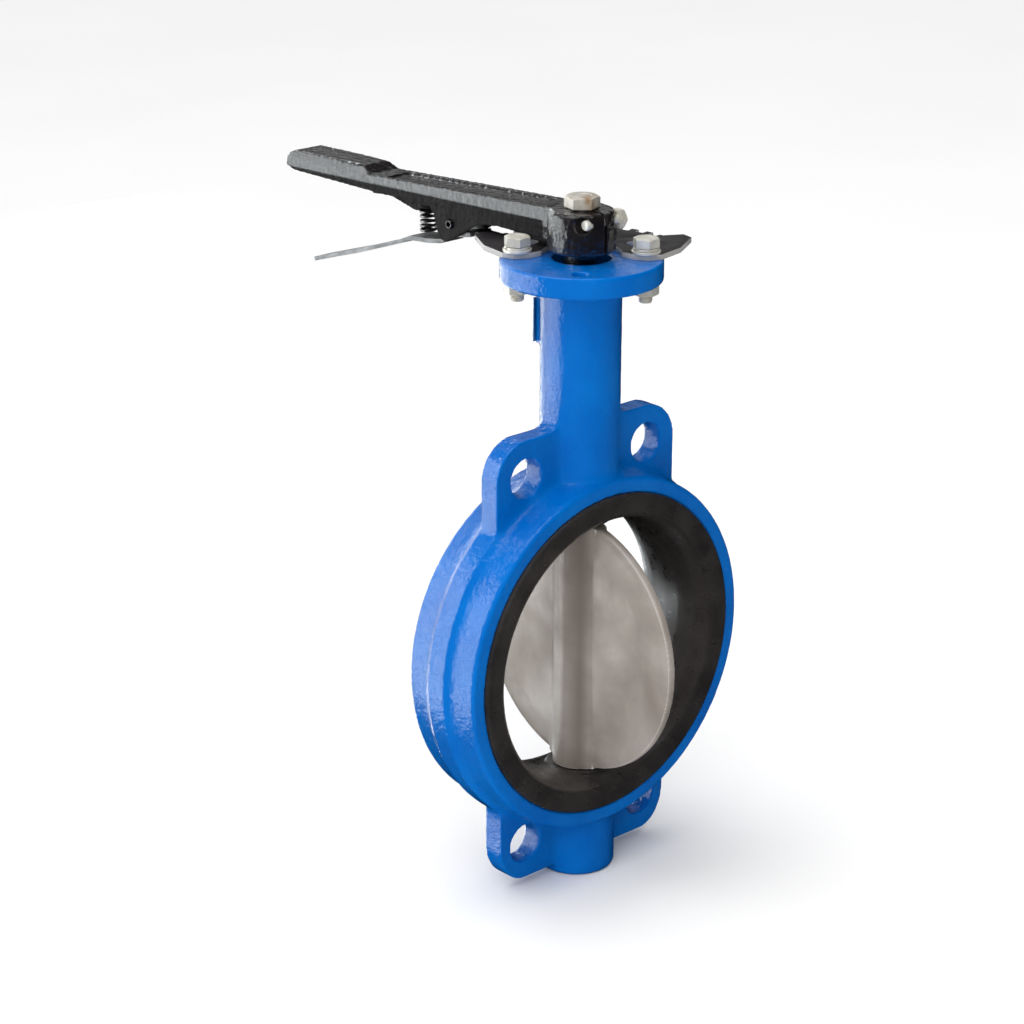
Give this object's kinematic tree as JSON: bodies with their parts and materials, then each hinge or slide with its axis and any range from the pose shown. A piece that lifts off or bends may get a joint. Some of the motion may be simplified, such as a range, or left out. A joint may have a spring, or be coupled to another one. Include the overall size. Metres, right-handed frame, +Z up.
{
  "type": "butterfly valve",
  "caption": "Wafer butterfly valve with a rubber-lined cast body, a stainless disc that turns on its stem, and a notched hand lever with a squeeze trigger.",
  "frame": {"origin": "centre of the bore, where the flow axis meets the stem's axis", "axes": "+Z up the stem towards the lever, +Y along the pipe and along the lever at rest, +X across the pipe"},
  "size_m": [0.215, 0.3199, 0.3994],
  "materials": {
    "enamel": "glossy blue epoxy enamel over a casting, with a light orange peel",
    "seat_rubber": "moulded black EPDM, satin",
    "disc_steel": "satin cast stainless steel with a polished rim",
    "stem_steel": "turned stainless steel",
    "spring_steel": "drawn spring steel",
    "bush_polymer": "turned bearing polymer",
    "seal_rubber": "moulded nitrile rubber",
    "plate_steel": "dark blackened steel plate with bright sheared edges",
    "lever_paint": "gloss black paint over a rough casting",
    "zinc": "bright zinc plating",
    "pin_steel": "rolled spring steel",
    "trigger_steel": "galvanised steel strip",
    "data_plate_metal": "plain brushed aluminium, blank"
  },
  "bodies": {
    "valve_body": {"body": "enamel", "boss_bush": "bush_polymer", "boss_seal": "seal_rubber", "data_plate": "data_plate_metal", "data_plate_rivet_left": "data_plate_metal", "data_plate_rivet_right": "data_plate_metal", "flange_bolt_left": "zinc", "flange_bolt_right": "zinc", "flange_nut_left": "zinc", "flange_nut_right": "zinc", "neck_bush_lower": "bush_polymer", "neck_bush_upper": "bush_polymer", "notch_plate": "plate_steel", "nut_lock_washer_left": "zinc", "nut_lock_washer_right": "zinc", "plate_lock_washer_left": "zinc", "plate_lock_washer_right": "zinc", "plate_washer_left": "zinc", "plate_washer_right": "zinc", "seat": "seat_rubber", "stem_seal_lower": "seal_rubber", "stem_seal_upper": "seal_rubber", "stem_snap_ring": "spring_steel", "stem_thrust_washer": "stem_steel"},
    "stem_and_disc": {"disc": "disc_steel", "upper_stem": "stem_steel", "lower_stem": "stem_steel", "stem_half_ring_back": "stem_steel", "stem_half_ring_front": "stem_steel", "lever": "lever_paint", "lever_top_bolt": "zinc", "clamp_bolt": "zinc", "trigger_pin": "pin_steel", "trigger_spring": "spring_steel"},
    "lock_trigger": {"trigger": "trigger_steel"}
  },
  "joints": [
    {"name": "stem_turn", "type": "hinge", "parent": "valve_body", "child": "stem_and_disc", "pos_m": [0, 0, 0], "axis": [0, 0, -1], "range_deg": [0, 90]},
    {"name": "trigger_squeeze", "type": "hinge", "parent": "stem_and_disc", "child": "lock_trigger", "pos_m": [0, 0.096, 0.228], "axis": [1, 0, 0], "range_deg": [-4.3, 9], "stiffness_Nm_per_rad": 6, "deforming": ["trigger_spring"]}
  ]
}
